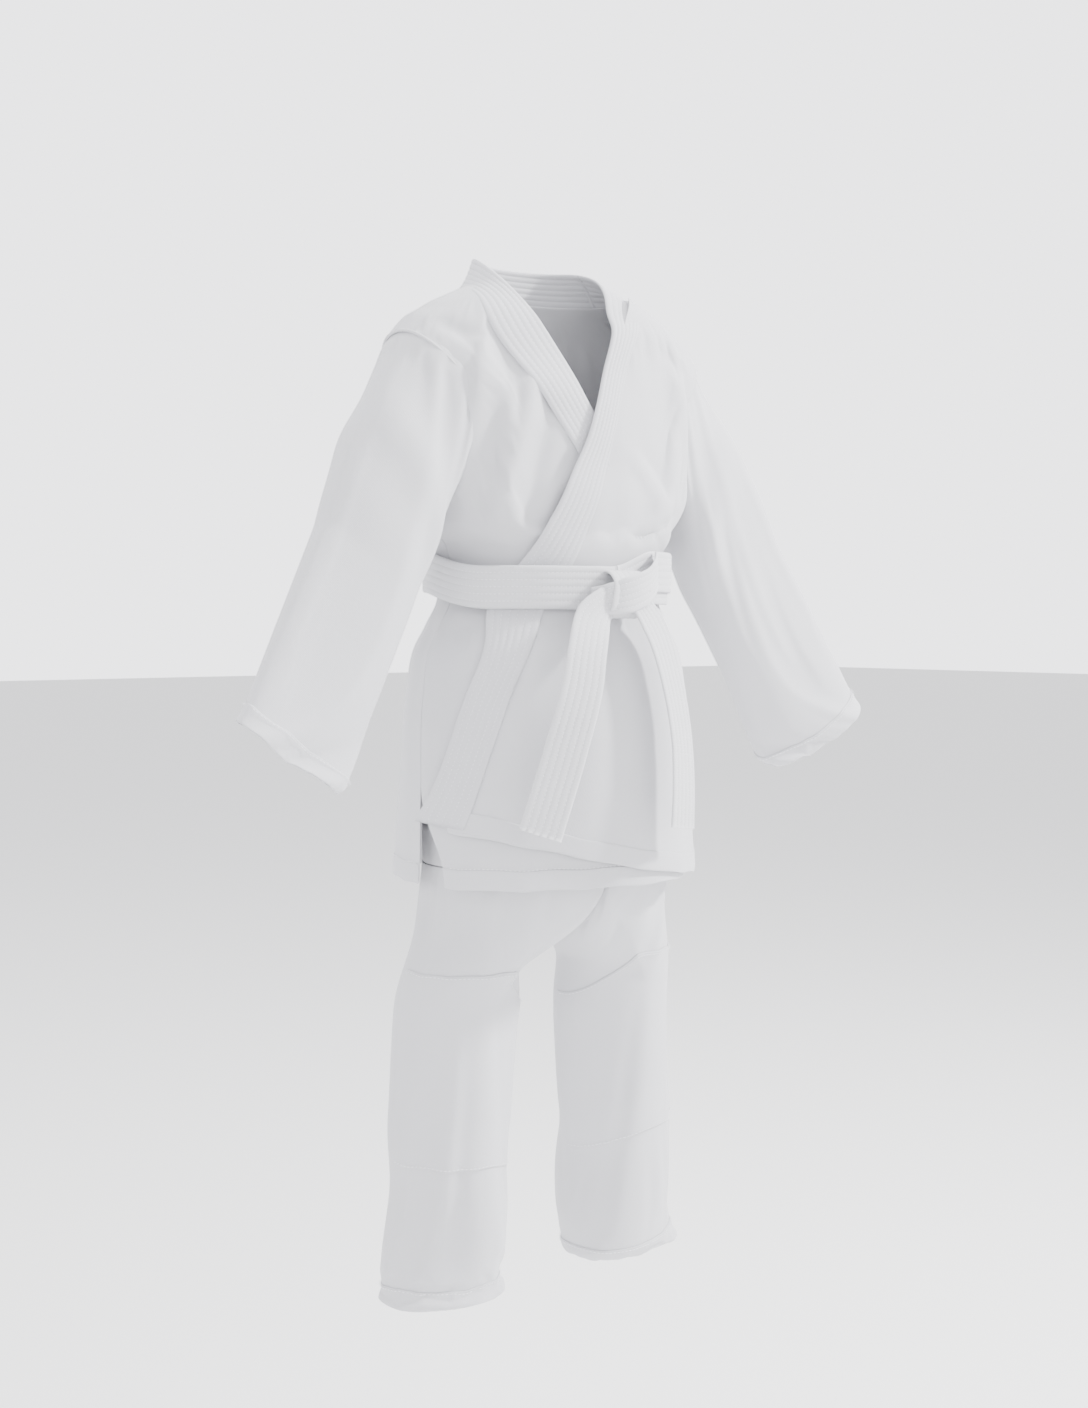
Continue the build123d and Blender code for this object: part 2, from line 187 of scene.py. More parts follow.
# ---------------------------------------------------------------- materials
MOTTLE = 0.03  # how uneven a cloth's colour is


def add_node(nodes, kind, inputs=None, operation=None):
    """A shader node with some of its inputs set."""
    node = nodes.new("ShaderNode" + kind)
    if operation:
        node.operation = operation
    for key, value in (inputs or {}).items():
        node.inputs[key].default_value = value
    return node


def new_material(name, inputs):
    """A material, its nodes, its links, and its shader with some inputs set."""
    material = bpy.data.materials.new(name)
    material.use_nodes = True
    shader = material.node_tree.nodes["Principled BSDF"]
    for key, value in inputs.items():
        shader.inputs[key].default_value = value
    return material, material.node_tree.nodes, material.node_tree.links, shader


def cotton(name, tint, weave=0.0011, rib=False):
    """Matt cotton: a plain weave or a rib, soft slubs and slight unevenness of colour."""
    material, nodes, links, shader = new_material(name, {
        "Roughness": 0.88, "Sheen Weight": 0.25, "Sheen Roughness": 0.45, "Specular IOR Level": 0.18,
    })
    place = add_node(nodes, "TexCoord")
    flat = add_node(nodes, "UVMap")
    flat.uv_map = "cloth"

    def wave(direction, size):
        node = add_node(nodes, "TexWave", {
            "Scale": 1 / size / 3.2, "Distortion": 0.6, "Detail": 1, "Detail Scale": 60,
        })
        node.wave_type = "BANDS"
        node.bands_direction = direction
        links.new(flat.outputs["UV"], node.inputs["Vector"])
        return node

    warp, weft = wave("X", weave), wave("Y", weave * (2.4 if rib else 1.0))
    cross = add_node(nodes, "Math", operation="MULTIPLY")
    links.new(warp.outputs["Fac"], cross.inputs[0])
    links.new(weft.outputs["Fac"], cross.inputs[1])

    slub = add_node(nodes, "TexNoise", {"Scale": 420, "Detail": 4})
    links.new(place.outputs["Object"], slub.inputs["Vector"])
    fuzz = add_node(nodes, "Math", {1: 0.9}, "MULTIPLY_ADD")
    links.new(slub.outputs["Fac"], fuzz.inputs[0])
    links.new(cross.outputs[0], fuzz.inputs[2])

    bump = add_node(nodes, "Bump", {"Strength": 0.35, "Distance": 0.0005})
    links.new(fuzz.outputs[0], bump.inputs["Height"])
    links.new(bump.outputs["Normal"], shader.inputs["Normal"])

    cloud = add_node(nodes, "TexNoise", {"Scale": 9, "Detail": 6, "Roughness": 0.7})
    links.new(place.outputs["Object"], cloud.inputs["Vector"])
    both = add_node(nodes, "Math", {1: 0.35}, "MULTIPLY_ADD")
    links.new(cross.outputs[0], both.inputs[0])
    links.new(cloud.outputs["Fac"], both.inputs[2])
    ramp = add_node(nodes, "ValToRGB")
    ramp.color_ramp.elements[0].position = 0.25
    ramp.color_ramp.elements[1].position = 0.85
    ramp.color_ramp.elements[0].color = (*[c * (1 - MOTTLE) for c in tint], 1)
    ramp.color_ramp.elements[1].color = (*[min(1, c * (1 + MOTTLE * 0.4)) for c in tint], 1)
    links.new(both.outputs[0], ramp.inputs["Fac"])
    links.new(ramp.outputs["Color"], shader.inputs["Base Color"])
    return material


def thread_material():
    """Bright cotton sewing thread with a fine twist."""
    material, nodes, links, shader = new_material("sewing_thread", {"Roughness": 0.6, "Sheen Weight": 0.2})
    place = add_node(nodes, "TexCoord")
    noise = add_node(nodes, "TexNoise", {"Scale": 900})
    links.new(place.outputs["Object"], noise.inputs["Vector"])
    ramp = add_node(nodes, "ValToRGB")
    ramp.color_ramp.elements[0].color = (0.80, 0.80, 0.83, 1)
    ramp.color_ramp.elements[1].color = (0.90, 0.90, 0.92, 1)
    links.new(noise.outputs["Fac"], ramp.inputs["Fac"])
    links.new(ramp.outputs["Color"], shader.inputs["Base Color"])
    return material


JACKET_CLOTH = cotton("jacket_canvas_cloth", (0.60, 0.60, 0.622))
BAND_CLOTH = cotton("quilted_band_cloth", (0.60, 0.60, 0.626), weave=0.0009)
BELT_CLOTH = cotton("belt_cloth", (0.63, 0.63, 0.65), weave=0.0010, rib=True)
TROUSER_CLOTH = cotton("trouser_canvas_cloth", (0.60, 0.60, 0.622))
LINING_CLOTH = cotton("lining_cloth", (0.55, 0.55, 0.57))
ELASTIC_CLOTH = cotton("elastic_web", (0.58, 0.58, 0.58), weave=0.0016, rib=True)
THREAD = thread_material()

# ---------------------------------------------------------------- draping


REACH = 0.007  # about how far the simulation may move the cloth


def drape(points, rows, columns, hold, swell, frames):
    """Let a closed grid of cloth settle under gravity, a little larger than its form, within reach of it."""
    mesh = bpy.data.meshes.new("settling")
    mesh.from_pydata([tuple(p) for p in points], [], grid_faces(rows, columns, closed=True))
    mesh.update()
    piece = bpy.data.objects.new("settling", mesh)
    bpy.context.collection.objects.link(piece)
    group = piece.vertex_groups.new(name="held")
    for index, value in enumerate(hold):
        group.add([index], float(value), "REPLACE")
    cloth = piece.modifiers.new("cloth", "CLOTH")
    settings = cloth.settings
    settings.quality = 5
    settings.mass = 0.25
    settings.air_damping = 4
    settings.tension_stiffness = 25
    settings.compression_stiffness = 25
    settings.shear_stiffness = 12
    settings.bending_stiffness = 3
    settings.vertex_group_mass = "held"
    settings.pin_stiffness = 1.0
    settings.shrink_min = -swell
    cloth.collision_settings.use_collision = False
    cloth.collision_settings.use_self_collision = False
    cloth.point_cache.frame_start = 1
    cloth.point_cache.frame_end = frames
    scene = bpy.context.scene
    for number in range(1, frames + 1):
        scene.frame_set(number)
    settled = piece.evaluated_get(bpy.context.evaluated_depsgraph_get()).to_mesh()
    out = np.zeros(len(points) * 3)
    settled.vertices.foreach_get("co", out)
    piece.to_mesh_clear()
    bpy.data.objects.remove(piece)
    bpy.data.meshes.remove(mesh)
    scene.frame_set(1)
    moved = out.reshape(-1, 3) - points
    far = np.linalg.norm(moved, axis=1, keepdims=True)
    return points + moved * np.tanh(far / REACH) * REACH / np.maximum(far, 1e-9)


class Form:
    """A draped form: a grid of points round (closed) and down, which other pieces are laid on."""

    def __init__(self, points, rows, columns):
        self.grid = points.reshape(rows, columns, 3)
        self.rows, self.columns = rows, columns
        around = np.roll(self.grid, -1, axis=1) - np.roll(self.grid, 1, axis=1)
        down = np.gradient(self.grid, axis=0)
        normal = np.cross(down, around)
        self.normal = normal / np.maximum(np.linalg.norm(normal, axis=2, keepdims=True), 1e-9)

    def at(self, turn, share, lift=0.0):
        """Points at a share of a turn round and a share of the way down, lifted off the form."""
        column = np.mod(turn, 1.0) * self.columns
        row = np.clip(share, 0, 1) * (self.rows - 1)
        c0 = np.floor(column).astype(int) % self.columns
        c1 = (c0 + 1) % self.columns
        r0 = np.clip(np.floor(row).astype(int), 0, self.rows - 2)
        fc = (column - np.floor(column))[..., None]
        fr = (row - r0)[..., None]

        def mix(values):
            top = values[r0, c0] * (1 - fc) + values[r0, c1] * fc
            low = values[r0 + 1, c0] * (1 - fc) + values[r0 + 1, c1] * fc
            return top * (1 - fr) + low * fr

        normal = mix(self.normal)
        normal /= np.linalg.norm(normal, axis=-1, keepdims=True)
        return mix(self.grid) + normal * np.asarray(lift)[..., None]


# ---------------------------------------------------------------- the jacket's form
TOP, BOTTOM = 0.006, JACKET_HEM - 0.004


def torso_section(height):
    """Half width and half depth of the jacket's inside at a height."""
    return smooth_table(TORSO, height)


def share_of(height):
    """The share of the way down the jacket's form."""
    return (TOP - height) / (TOP - BOTTOM)


def fold(value, centre, width):
    """A rounded ridge of height 1 across a distance."""
    return np.exp(-(((value - centre) / width) ** 2))


def jacket_form():
    """The jacket's body, from the neck to the hem, with the belt drawing it in."""
    rows, columns = 112, 168
    height = np.linspace(TOP, BOTTOM, rows)[:, None].repeat(columns, 1)
    turn = (np.arange(columns) / columns)[None, :].repeat(rows, 0)
    angle = turn * 2 * math.pi
    half_width, half_depth = torso_section(height)
    x, y = half_width * np.sin(angle), -half_depth * np.cos(angle)

    # pleats that the belt gathers above and below itself, deepest at the wearer's sides
    gather = np.zeros_like(x)
    below = np.exp(-((BELT_LOW - height) / 0.075)) * (height < BELT_LOW)
    above = np.exp(-((height - BELT_HIGH) / 0.060)) * (height > BELT_HIGH)
    pleats = 0.5 + 0.5 * np.sin(angle * 17 + 1.3 * np.sin(angle * 3) + 0.8)
    sides = 0.35 + 0.65 * np.abs(np.sin(angle)) ** 2
    gather += 0.0075 * pleats * sides * below * (1 - np.exp(-((BELT_LOW - height) / 0.012)))
    gather += 0.0060 * (1 - pleats) * sides * above * (1 - np.exp(-((height - BELT_HIGH) / 0.012)))
    # blousing over the belt
    gather += 0.007 * fold(height, BELT_HIGH + 0.050, 0.030) * (0.4 + 0.6 * sides)
    # flares of the skirt
    gather += 0.0045 * np.sin(angle * 5 + 0.7) * smoothstep(-height, 0.40, 0.57)
    # drag folds from the right armhole down to the belt, and a softer pair on the left
    for side, start, end, width, deep in (
        (-1, (0.060, -0.070), (0.098, -0.235), 0.010, 0.009),
        (-1, (0.112, -0.060), (0.128, -0.200), 0.009, 0.008),
        (1, (0.110, -0.070), (0.124, -0.215), 0.011, 0.006),
        (-1, (0.020, -0.170), (0.085, -0.250), 0.010, 0.003),
        (1, (0.035, -0.160), (0.090, -0.245), 0.012, 0.004),
    ):
        run = (height - start[1]) / (end[1] - start[1])
        place = side * (start[0] + (end[0] - start[0]) * run + 0.006 * np.sin(run * 3))
        fade = smoothstep(run, -0.15, 0.2) * (1 - smoothstep(run, 0.85, 1.15))
        front = smoothstep(-y, 0.0, 0.03)
        gather += deep * fade * front * (fold(x, place, width) - 0.6 * fold(x, place + width * 2, width))
    grow = 1 + gather / np.hypot(x, y)
    points = np.stack([x * grow, y * grow, height], axis=2).reshape(-1, 3)

    hold = np.full((rows, columns), 0.06)
    hold = np.maximum(hold, smoothstep(height, -0.06, -0.02))
    hold = np.maximum(hold, smoothstep(height, BELT_LOW - 0.012, BELT_LOW) * (height < BELT_HIGH + 0.01))
    for side in (-1, 1):
        near = armhole_distance(x, y, height, side)
        hold = np.maximum(hold, 1 - smoothstep(near, 1.02, 1.25))
    hold = np.clip(hold, 0, 1)
    points = drape(points, rows, columns, hold.ravel(), 0.03, 24)
    return Form(points, rows, columns)


def armhole_distance(x, y, height, side):
    """How far a place is from an armhole's middle, where 1 is on its seam."""
    distance = np.hypot((y - SHOULDER[1]) / ARMHOLE[0], (height - SHOULDER[2]) / ARMHOLE[1])
    return np.where(side * x > 0, distance, 9.0)


BODY = jacket_form()


def line_turn(line, height):
    """A front line's share of a turn, from the front middle to the wearer's left, at given heights."""
    across = smooth_table(line[:, ::-1], height)[0]
    half_width, _ = torso_section(height)
    return np.arcsin(np.clip(across / half_width, -1, 1)) / (2 * math.pi)


def over_hem(turn):
    """The left front's hem, which rises towards the lapel's corner."""
    return JACKET_HEM + OVER_CORNER_RISE * (1 - smoothstep(turn, -0.24, 0.17)) ** 1.3


def vent_gap(height):
    """How far a front's side edge stands forward of the side seam, as a share of a turn."""
    drop = smoothstep(VENT_APEX - height, 0, VENT_APEX - JACKET_HEM)
    return VENT_OPENING * drop / (2 * math.pi * 0.145)


def seam_lift(turn, lift):
    """A front's lift off the form, which meets the back's at the side seams."""
    near = 1 - smoothstep(np.abs(np.abs(turn) - 0.25), 0.002, 0.060)
    return lift + (BACK - lift) * near


def cut_armholes(points, inner):
    """Push the points just inside an armhole's seam out to it, and say which points stay."""
    near = np.minimum(*(armhole_distance(*points.T, side) for side in (-1, 1)))
    rim = (near > inner) & (near < 1.0)
    points[rim, 1] = SHOULDER[1] + (points[rim, 1] - SHOULDER[1]) / near[rim]
    points[rim, 2] = SHOULDER[2] + (points[rim, 2] - SHOULDER[2]) / near[rim]
    return near > inner


PANEL_TOP = -0.003
PANEL_RIM, PATCH_RIM = 0.93, 0.90  # how far inside an armhole's seam the cloth reaches, as shares of it


def lay_panel(name, material, start, end, hem, lift, columns=64):
    """Lay a panel on the jacket's form between two edges, from its top to its hem."""
    rows = 96
    across = np.linspace(0, 1, columns)[None, :].repeat(rows, 0)
    down = np.linspace(0, 1, rows)[:, None].repeat(columns, 1)
    level = PANEL_TOP + (JACKET_HEM - PANEL_TOP) * down
    height = level
    for _ in range(3):
        turn = start(height) + (end(height) - start(height)) * across
        height = level + (hem(turn) - JACKET_HEM) * smoothstep(-height, 0.30, 0.57)
    points = BODY.at(turn, share_of(height), seam_lift(turn, lift)).reshape(-1, 3)
    keep = cut_armholes(points, PANEL_RIM)
    uv = lengths_map(points, rows, columns)
    piece = make_object(name, points, grid_faces(rows, columns), material, uv, keep)
    thicken(piece, CLOTH)
    return piece


def flat_hem(turn):
    """A level hem."""
    return np.full_like(turn, JACKET_HEM)


def constant(value):
    """An edge that stays at one share of a turn."""
    return lambda height: np.full_like(height, value)


def middle_of(edge, seam):
    """The line under a lapel, a little way in from its seam, where the cloth ends inside it."""
    def line(height):
        cover = 0.65 - 0.35 * smoothstep(-height, 0.03, 0.08)
        return cover * line_turn(edge, height) + (1 - cover) * line_turn(seam, height)
    return line


SEAM_RIGHT, SEAM_LEFT = -0.25, 0.25
back_right = lay_panel("jacket_back_right", JACKET_CLOTH, constant(-0.5), constant(SEAM_RIGHT), flat_hem, BACK)
back_left = lay_panel("jacket_back_left", JACKET_CLOTH, constant(SEAM_LEFT), constant(0.5), flat_hem, BACK)
front_right = lay_panel(
    "jacket_front_right", JACKET_CLOTH, lambda h: SEAM_RIGHT + vent_gap(h),
    middle_of(UNDER_EDGE, UNDER_SEAM), flat_hem, UNDER,
)
front_left = lay_panel(
    "jacket_front_left", JACKET_CLOTH, middle_of(OVER_EDGE, OVER_SEAM),
    lambda h: SEAM_LEFT - vent_gap(h), over_hem, OVER, columns=96,
)

# ---------------------------------------------------------------- sleeves


def sleeve_form(side):
    """A sleeve's tube, from the armhole's seam to the cuff."""
    rows, columns = 76, 88
    share = np.linspace(0, 1, rows)[:, None].repeat(columns, 1)
    angle = (np.arange(columns) / columns * 2 * math.pi)[None, :].repeat(rows, 0)
    tucked = 1 - smoothstep(share, 0.0, 0.022)
    y0 = SHOULDER[1] + ARMHOLE[0] * (1 + 0.05 * tucked) * np.sin(angle)
    z0 = SHOULDER[2] + ARMHOLE[1] * (1 + 0.05 * tucked) * np.cos(angle)
    half_width, half_depth = torso_section(z0)
    x0 = half_width * np.sqrt(np.clip(1 - (y0 / half_depth) ** 2, 0, 1)) + 0.0045 - 0.0040 * tucked
    start = np.stack([side * x0, y0, z0], axis=2)

    along = Vector((side * CUFF[0], CUFF[1], CUFF[2])) - Vector((side * SHOULDER[0], *SHOULDER[1:]))
    along.normalize()
    up = along.cross(Vector((0, 1, 0))).normalized()
    up = up if up.x * side > 0 else -up
    back = up.cross(along).normalized()
    back = back if back.y > 0 else -back
    turned = math.radians(14)
    out = up * math.cos(turned) - back * math.sin(turned)
    behind = back * math.cos(turned) + up * math.sin(turned)
    end = np.array((side * CUFF[0], CUFF[1], CUFF[2])) + (
        CUFF_RADII[0] * np.cos(angle)[..., None] * np.array(out)
        + CUFF_RADII[1] * np.sin(angle)[..., None] * np.array(behind)
        - CUFF_SLANT * np.sin(angle)[..., None] * np.array(along)
    )
    points = start + (end - start) * share[..., None]
    outward = np.array(out) * np.cos(angle)[..., None] + np.array(behind) * np.sin(angle)[..., None]

    lateral = np.maximum(np.cos(angle), 0)
    lift = 0.010 * lateral * np.sin(np.clip(share / 0.5, 0, 1) * math.pi)
    # the cloth bunches below the armpit and hangs in long soft folds
    medial = np.maximum(-np.cos(angle), 0)
    lift -= 0.010 * medial * fold(share, 0.10, 0.07)
    lift += 0.004 * np.sin(angle * 3 + 2.2 * share + side) * smoothstep(share, 0.05, 0.35)
    lift += 0.0035 * np.sin(share * 26 + angle * 1.5) * fold(share, 0.22, 0.16) * np.abs(np.sin(angle))
    points = points + outward * lift[..., None]

    if side < 0:
        points = np.concatenate([points[:, :1], points[:, :0:-1]], axis=1)
    hold = np.maximum(0.05, 1 - smoothstep(share, 0.0, 0.05))
    hold = np.maximum(hold, 0.35 * smoothstep(share, 0.94, 1.0))
    points = drape(points.reshape(-1, 3), rows, columns, hold.ravel(), 0.035, 24)
    return Form(points, rows, columns)


def lay_tube(name, form, material, low=0.0, high=1.0, lift=0.0, rows=90, columns=88, thickness=CLOTH,
             turns=(0.0, 1.0)):
    """Lay a tube, or part of one, on a form that is closed round."""
    closed = turns[1] - turns[0] >= 1
    across = np.linspace(*turns, columns, endpoint=not closed)[None, :].repeat(rows, 0)
    down = np.linspace(low, high, rows)[:, None].repeat(columns, 1)
    points = form.at(across, down, np.full_like(down, lift)).reshape(-1, 3)
    uv = lengths_map(points, rows, columns)
    piece = make_object(name, points, grid_faces(rows, columns, closed), material, uv)
    thicken(piece, thickness)
    return piece


SIDES = ((-1, "right"), (1, "left"))
SLEEVE = {name: sleeve_form(side) for side, name in SIDES}
sleeves, cuffs = {}, {}
for side, name in SIDES:
    sleeves[name] = lay_tube(f"sleeve_cloth_{name}", SLEEVE[name], JACKET_CLOTH)
    cuffs[name] = lay_tube(f"sleeve_hem_{name}", SLEEVE[name], JACKET_CLOTH, 0.945, 1.002, 0.0011, rows=8)

# ---------------------------------------------------------------- trousers
HIPS = np.array([  # height, half width, half depth
    (-258, 104, 80), (-300, 105, 81), (-400, 122, 97), (-500, 133, 104), (-562, 134, 98),
]) * MM
LEG = np.array([  # height, middle across, middle along, half width, half depth
    (-613, 92, 12, 64, 63), (-650, 101, 13, 66, 54), (-720, 104, 16, 66, 50), (-840, 106, 18, 66, 49),
    (-975, 108, 20, 66, 48),
]) * MM
WAIST_TOP, HIP_LOW, CROTCH, TROUSER_HEM = -0.262, -0.560, -0.613, -0.974


def hips_form():
    """The trousers' seat, from the waistband down to the tops of the legs."""
    rows, columns = 60, 144
    height = np.linspace(WAIST_TOP, HIP_LOW, rows)[:, None].repeat(columns, 1)
    angle = (np.arange(columns) / columns * 2 * math.pi)[None, :].repeat(rows, 0)
    half_width, half_depth = smooth_table(HIPS, height)
    below = smoothstep(WAIST_TOP - 0.034 - height, 0, 0.02) * np.exp(-(WAIST_TOP - 0.034 - height) / 0.06)
    gather = 1 + 0.022 * np.sin(angle * 30) * below
    x, y = half_width * np.sin(angle) * gather, -half_depth * np.cos(angle) * gather
    points = np.stack([x, y, height], axis=2).reshape(-1, 3)
    hold = np.maximum(0.08, 1 - smoothstep(WAIST_TOP - height, 0.03, 0.06))
    hold = np.maximum(hold, 1 - smoothstep(height - HIP_LOW, 0.01, 0.05))
    points = drape(points, rows, columns, hold.ravel(), 0.02, 16)
    return Form(points, rows, columns)


def leg_form(side):
    """One leg, from the seat's lower edge and the crotch's seam down to the hem."""
    rows, columns = 96, 88
    share = np.linspace(0, 1, rows)[:, None].repeat(columns, 1)
    angle = (np.arange(columns) / columns * 2 * math.pi)[None, :].repeat(rows, 0)
    half_width, half_depth = smooth_table(HIPS, np.full_like(angle, HIP_LOW))
    outer = np.maximum(np.sin(angle), 0)
    inner = np.maximum(-np.sin(angle), 0)
    top = np.stack([
        half_width * outer + 0.0006,
        -half_depth * np.cos(angle),
        HIP_LOW + (CROTCH - HIP_LOW) * inner**1.4,
    ], axis=2)
    height = top[..., 2] + (TROUSER_HEM - top[..., 2]) * share
    across, along, leg_width, leg_depth = smooth_table(LEG, height)
    round_x = across + leg_width * np.sin(angle)
    round_y = along - leg_depth * np.cos(angle)
    merge = smoothstep(share, 0.0, 0.34 - 0.20 * inner)
    x = top[..., 0] + (round_x - top[..., 0]) * merge
    y = top[..., 1] + (round_y - top[..., 1]) * merge
    # folds: pulls from the crotch, and slanting breaks on the lower leg
    lift = 0.004 * np.sin(height * 55 + angle * 2 + side) * fold(share, 0.16, 0.12) * inner
    breaks = np.sin(height * 42 - np.sin(angle - 0.6) * 2.4 + side * 0.8)
    lift += 0.0035 * breaks * smoothstep(share, 0.5, 0.75)
    lift += 0.004 * np.sin(angle * 3 + share * 3 + side * 0.5) * smoothstep(share, 0.15, 0.4)
    x = x + lift * np.sin(angle)
    y = y - lift * np.cos(angle)
    points = np.stack([side * x, y, height], axis=2)
    if side < 0:
        points = np.concatenate([points[:, :1], points[:, :0:-1]], axis=1)
    hold = np.maximum(0.05, 1 - smoothstep(share, 0.0, 0.05))
    hold = np.maximum(hold, 0.35 * smoothstep(share, 0.95, 1.0))
    points = drape(points.reshape(-1, 3), rows, columns, hold.ravel(), 0.03, 24)
    return Form(points, rows, columns)


HIP = hips_form()
LEGS = {name: leg_form(side) for side, name in SIDES}
hip_pieces = {
    "right": lay_tube("trouser_seat_right", HIP, TROUSER_CLOTH, 0.06, 1.0, 0, 60, 80, turns=(0.5, 1.0)),
    "left": lay_tube("trouser_seat_left", HIP, TROUSER_CLOTH, 0.06, 1.0, 0, 60, 80, turns=(0.0, 0.5)),
}
waistband = lay_tube("waistband_cloth", HIP, TROUSER_CLOTH, 0.0, 0.115, 0.0012, 14, 144, 0.0034)
leg_pieces, leg_hems, knees = {}, {}, {}
for side, name in SIDES:
    form = LEGS[name]
    leg_pieces[name] = lay_tube(f"leg_cloth_{name}", form, TROUSER_CLOTH, rows=110)
    leg_hems[name] = lay_tube(f"leg_turned_hem_{name}", form, TROUSER_CLOTH, 0.952, 1.002, 0.0011, rows=8)
    knee_turns = (-0.28, 0.28)
    knees[name] = lay_tube(
        f"knee_panel_{name}", form, TROUSER_CLOTH, 0.235, 0.675, 0.0012, 56, 50, 0.0010, turns=knee_turns,
    )

# ---------------------------------------------------------------- bands: lapels, collar and belt


def ease(line, times):
    """Smooth a line in place, between its two ends."""
    for _ in range(times):
        line[1:-1] = (line[:-2] + 2 * line[1:-1] + line[2:]) / 4


def unit(vectors):
    """Vectors scaled to length 1."""
    return vectors / np.maximum(np.linalg.norm(vectors, axis=-1, keepdims=True), 1e-9)


def resample(points, count):
    """A smooth run of evenly spaced points through a few given ones."""
    points = np.asarray(points, dtype=float)
    steps = np.concatenate([[0], np.cumsum(np.linalg.norm(np.diff(points, axis=0), axis=1))])
    dense = np.linspace(0, steps[-1], count)
    table = np.concatenate([steps[:, None], points], axis=1)
    return np.stack(smooth_table(table, dense), axis=1)


def quilt(share, rows):
    """The height of a quilted band across its width: raised channels between sunk stitch rows."""
    edge = 1 - np.abs(2 * share - 1) ** 14
    channel = np.abs(np.sin(math.pi * share * (rows + 1)))
    return np.clip(edge, 0, 1) ** 0.5 * (0.62 + 0.38 * channel**0.55)


def band(name, edge, seam, outward, material, thickness, rows, bow=0.0, across=61, stitches=True):
    """A flat band between two long lines, with stitched channels along it on both its faces."""
    count = len(edge)
    share = np.linspace(0, 1, across)
    flat = edge[:, None] + (seam - edge)[:, None] * share[None, :, None]
    arch = bow * 4 * share * (1 - share)
    rise = thickness / 2 * quilt(share, rows)
    front = flat + outward[:, None] * (arch + thickness / 2 + rise)[None, :, None]
    rear = flat + outward[:, None] * (arch + thickness / 2 - rise)[None, :, None]
    ring = np.concatenate([front, rear[:, ::-1][:, 1:-1]], axis=1)
    width = ring.shape[1]
    points = ring.reshape(-1, 3)
    faces = grid_faces(count, width, closed=True)
    for row, order in ((0, 1), (count - 1, -1)):
        base = row * width
        for column in range(across - 1):
            a, b = base + column, base + column + 1
            c = base + (width - column - 1) % width
            d = base + (width - column) % width
            quad = [a, b, c, d]
            quad = [v for i, v in enumerate(quad) if v not in quad[:i]]
            if len(quad) > 2:
                faces.append(tuple(quad[::order]))
    run = np.concatenate([[0], np.cumsum(np.linalg.norm(np.diff(edge, axis=0), axis=1))])
    wide = float(np.linalg.norm(seam - edge, axis=1).mean())
    place = np.concatenate([share, share[::-1][1:-1]]) * wide
    uv = np.stack(np.broadcast_arrays(place[None, :], run[:, None]), axis=2).reshape(-1, 2)
    piece = make_object(name, points, faces, material, uv)
    if stitches:
        lines = []
        for row in range(rows):
            at = (row + 1) / (rows + 1)
            line = edge + (seam - edge) * at
            lift = bow * 4 * at * (1 - at) + thickness / 2 + thickness / 2 * 0.62 + 0.0001
            lines.append(line + outward * lift)
        sewn = stitch_run(name + "_stitches", lines, outward)
        sewn.parent = piece
    return piece


def stitch_run(name, lines, outward, length=0.0030, pitch=0.0042, radius=0.00042):
    """Rows of separate thread stitches along lines."""
    points, faces = [], []
    ring = 5
    outward = outward if isinstance(outward, list) else [outward] * len(lines)
    for line, facing in zip(lines, outward):
        run = np.concatenate([[0], np.cumsum(np.linalg.norm(np.diff(line, axis=0), axis=1))])
        for start in np.arange(pitch, run[-1] - pitch, pitch):
            ends = [np.array([np.interp(start + d, run, line[:, k]) for k in range(3)]) for d in (0, length)]
            normal = np.array([np.interp(start, run, facing[:, k]) for k in range(3)])
            along = unit(ends[1] - ends[0])
            side = unit(np.cross(along, normal))
            normal = unit(np.cross(side, along))
            base = len(points)
            for spot, size, lift in ((0.0, 0.35, -0.0002), (0.5, 1.0, 0.00012), (1.0, 0.35, -0.0002)):
                centre = ends[0] + (ends[1] - ends[0]) * spot + normal * lift
                for k in range(ring):
                    turn = 2 * math.pi * k / ring
                    points.append(centre + radius * size * (math.cos(turn) * side + math.sin(turn) * normal))
            for layer in range(2):
                for k in range(ring):
                    a, b = base + layer * ring + k, base + layer * ring + (k + 1) % ring
                    faces.append((a, b, b + ring, a + ring))
            faces.append(tuple(base + k for k in range(ring))[::-1])
            faces.append(tuple(base + 2 * ring + k for k in range(ring)))
    return make_object(name, np.array(points), faces, THREAD)


LAPEL_ROWS = 6
BAND_THICK = 0.0042


def lapel_lines(edge, seam, lift, count, stand=(0, 0)):
    """A lapel's free edge, its seam and its outward directions, from the neck to the hem."""
    height_edge = np.linspace(edge[0, 1], edge[-1, 1], count)
    height_seam = np.linspace(seam[0, 1], seam[-1, 1], count)
    lift = np.full(count, lift)
    free = BODY.at(line_turn(edge, height_edge), share_of(height_edge), lift)
    sewn = BODY.at(line_turn(seam, height_seam), share_of(height_seam), lift)
    ease(free, 3)
    ease(sewn, 3)
    chest = smoothstep(-height_edge, 0.06, 0.13) * (1 - smoothstep(-height_edge, 0.22, 0.26))
    skirt = smoothstep(-height_edge, 0.33, 0.38)
    away = unit(free * np.array((1, 1, 0)))
    return free + away * (stand[0] * chest + stand[1] * skirt)[:, None], sewn


def band_outward(free, sewn, away):
    """Directions square to a band's face, on the side that away points to."""
    along = unit(np.gradient(free + sewn, axis=0))
    normal = unit(np.cross(along, sewn - free))
    sign = np.sign(np.sum(normal * away, axis=1))[:, None]
    return normal * sign


over_free, over_sewn = lapel_lines(OVER_EDGE, OVER_SEAM, OVER, 120, (0.003, 0.001))
under_free, under_sewn = lapel_lines(UNDER_EDGE, UNDER_SEAM, UNDER, 120)

